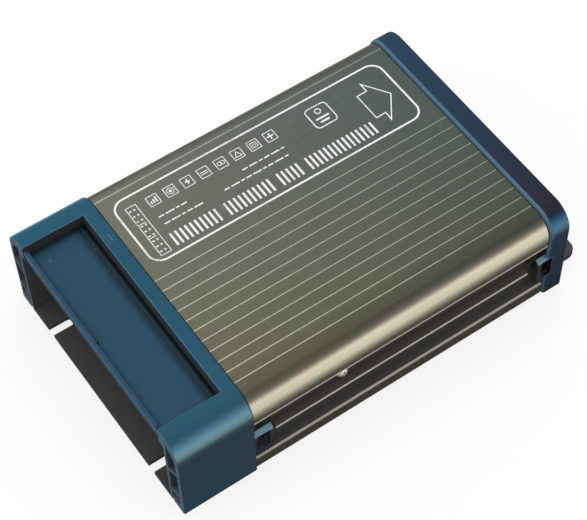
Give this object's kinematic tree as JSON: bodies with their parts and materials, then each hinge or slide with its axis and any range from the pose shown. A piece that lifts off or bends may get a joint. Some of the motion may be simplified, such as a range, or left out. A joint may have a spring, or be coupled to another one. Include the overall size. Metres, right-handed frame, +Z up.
{
  "type": "waterproof switching power supply",
  "caption": "Finned aluminium power supply with push-fit blue end caps, a hinged cover over its terminals and a notched mounting plate that reaches past the plain end.",
  "frame": {"origin": "middle of the mounting plate's underside, which is the bottom centre of the whole box", "axes": "+X along the length from the terminals to the plain upper end, +Y across the width, +Z up out of the mounting plate to the crown"},
  "size_m": [0.2026, 0.125, 0.0485],
  "materials": {
    "bronze_aluminium": "bronze anodised, satin",
    "black_steel": "black coat, satin",
    "blue_plastic": "dark blue moulded plastic, fine texture",
    "seal_rubber": "black, soft",
    "screw_steel": "zinc plated",
    "terminal_steel": "nickel plated",
    "insulating_film": "translucent white film",
    "board_laminate": "green solder mask",
    "block_plastic": "black moulded",
    "contact_brass": "plated",
    "trimmer_blue": "moulded",
    "rotor_white": "moulded",
    "lamp_green": "clear green",
    "fuse_glass": "clear",
    "thermistor_green": "dipped coating",
    "film_cap_yellow": "moulded box",
    "safety_cap_blue": "dipped coating",
    "ring_green": "coated ring",
    "ring_yellow": "coated ring",
    "copper_wire": "enamelled copper",
    "bare_copper": "bare wire",
    "device_black": "moulded",
    "pad_grey": "soft pad",
    "bar_aluminium": "as rolled",
    "can_black": "shrink sleeve",
    "can_brown": "shrink sleeve",
    "ferrite": "ferrite",
    "bobbin_brown": "moulded",
    "winding_tape": "tape over copper",
    "resistor_tan": "coated"
  },
  "bodies": {
    "unit": {"housing_extrusion": "bronze_aluminium", "mounting_plate": "black_steel", "terminal_end_cap": "blue_plastic", "upper_end_cap": "blue_plastic", "terminal_end_seal": "seal_rubber", "upper_end_seal": "seal_rubber", "side_screws": "screw_steel", "plate_screws": "screw_steel", "insulating_sheet": "insulating_film", "main_board": "board_laminate", "terminal_block": "block_plastic", "terminal_contacts": "contact_brass", "terminal_clamps": "terminal_steel", "terminal_screws": "terminal_steel", "trimmer_body": "trimmer_blue", "indicator_lamp": "lamp_green", "fuse_tube": "fuse_glass", "fuse_end_caps": "terminal_steel", "fuse_clips": "terminal_steel", "inrush_thermistor": "thermistor_green", "line_capacitor": "film_cap_yellow", "line_choke_base": "block_plastic", "line_choke_core": "ring_green", "line_choke_windings": "copper_wire", "safety_capacitors": "safety_cap_blue", "bridge_rectifier": "device_black", "switching_transistors": "device_black", "primary_pad": "pad_grey", "primary_clamp_bar": "bar_aluminium", "bulk_capacitors": "can_black", "driver_transformer_core": "ferrite", "driver_transformer_coil": "winding_tape", "main_transformer_core": "ferrite", "main_transformer_bobbin": "bobbin_brown", "main_transformer_winding": "winding_tape", "output_rectifiers": "device_black", "output_pad": "pad_grey", "output_clamp_bar": "bar_aluminium", "output_choke_core": "ring_yellow", "output_choke_winding": "copper_wire", "output_capacitors": "can_brown", "controller_chip": "device_black", "optocoupler": "device_black", "small_capacitors": "can_black", "sense_shunts": "bare_copper", "bleeder_resistors": "resistor_tan"},
    "cover": {"terminal_cover": "blue_plastic"},
    "rotor": {"trimmer_rotor": "rotor_white"}
  },
  "joints": [
    {"name": "cover_hinge", "type": "hinge", "parent": "unit", "child": "cover", "pos_m": [-0.07535, 0, 0.0421], "axis": [0, 1, 0], "range_deg": [0, 95]},
    {"name": "trimmer_turn", "type": "hinge", "parent": "unit", "child": "rotor", "pos_m": [-0.08285, -0.0469, 0.0098], "axis": [0, 0, 1], "range_deg": [-130, 130]}
  ]
}
